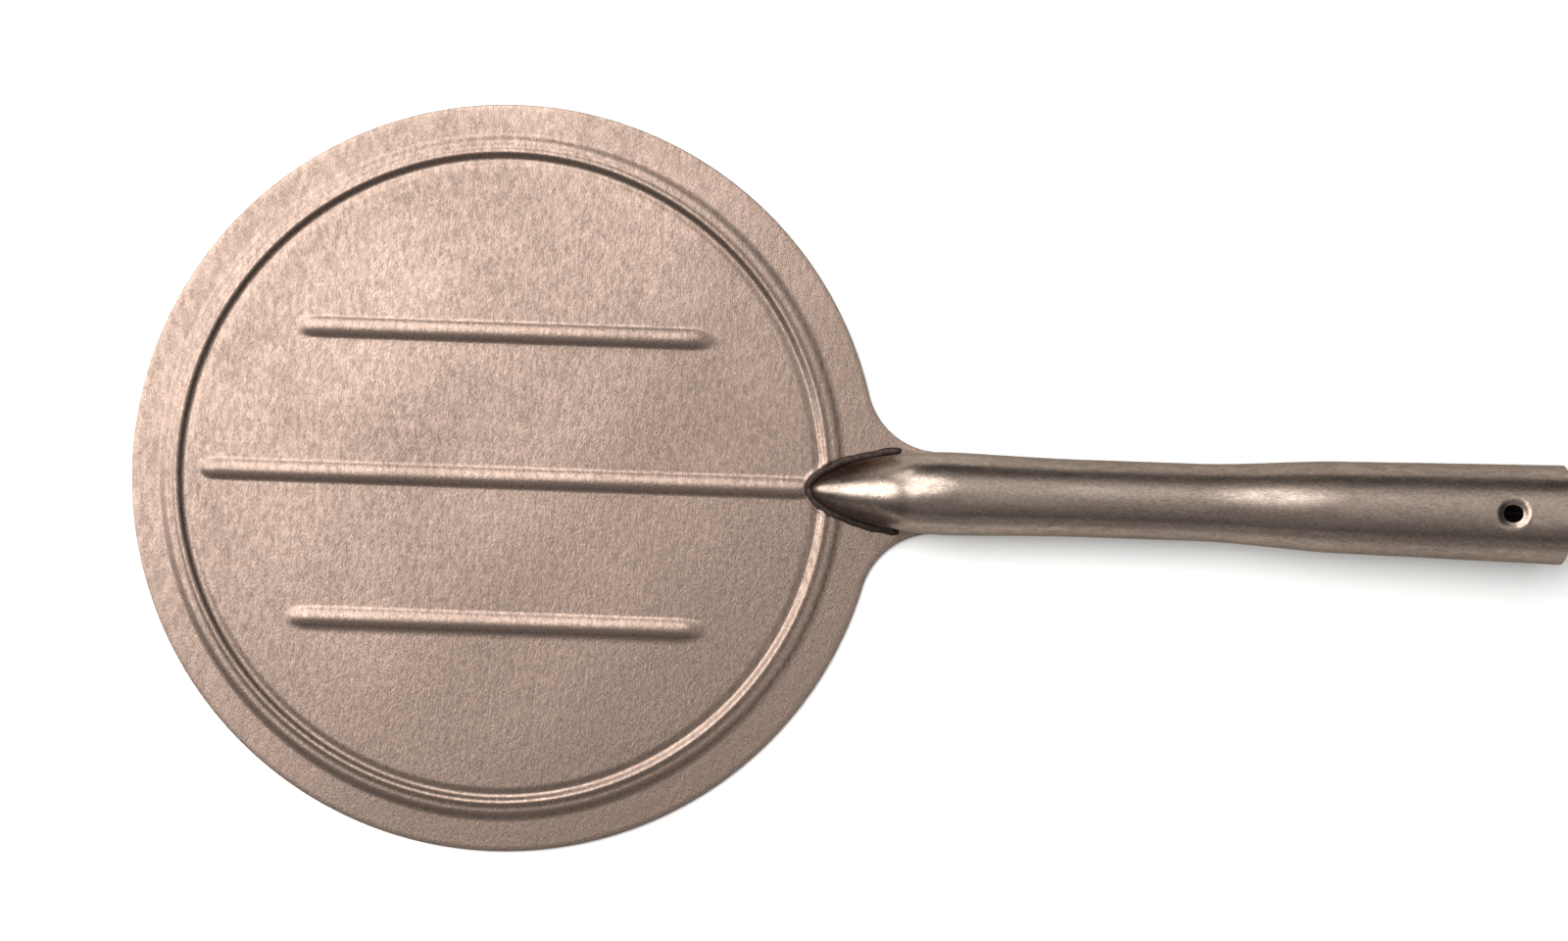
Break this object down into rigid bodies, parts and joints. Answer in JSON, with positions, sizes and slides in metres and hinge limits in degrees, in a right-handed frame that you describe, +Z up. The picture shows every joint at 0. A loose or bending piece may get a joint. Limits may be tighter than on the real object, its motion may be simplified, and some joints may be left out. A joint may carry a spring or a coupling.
{
  "type": "pizza peel head",
  "caption": "Round pizza peel head: pressed steel blade with a raised ring and stiffening ribs, and a welded tubular socket for a pole.",
  "frame": {"origin": "middle of the head's length and width, on the surface that the blade's rim lies on", "axes": "+X from the blade to the socket's mouth, +Z up out of the blade's working face, +Y across the blade"},
  "size_m": [0.57, 0.3, 0.0413],
  "materials": {
    "pressed_sheet": "satin pressed sheet, warm grey-beige, finely mottled and slightly heat-toned",
    "rolled_socket": "semi-bright rolled sheet, brown-grey, with drawn streaks along the tube",
    "weld_bead": "dark oxidised bead with heat tint beside it"
  },
  "bodies": {
    "root": {"blade": "pressed_sheet", "socket": "rolled_socket", "left_weld": "weld_bead", "right_weld": "weld_bead", "heel_weld": "weld_bead", "seam_weld": "weld_bead"}
  },
  "joints": []
}
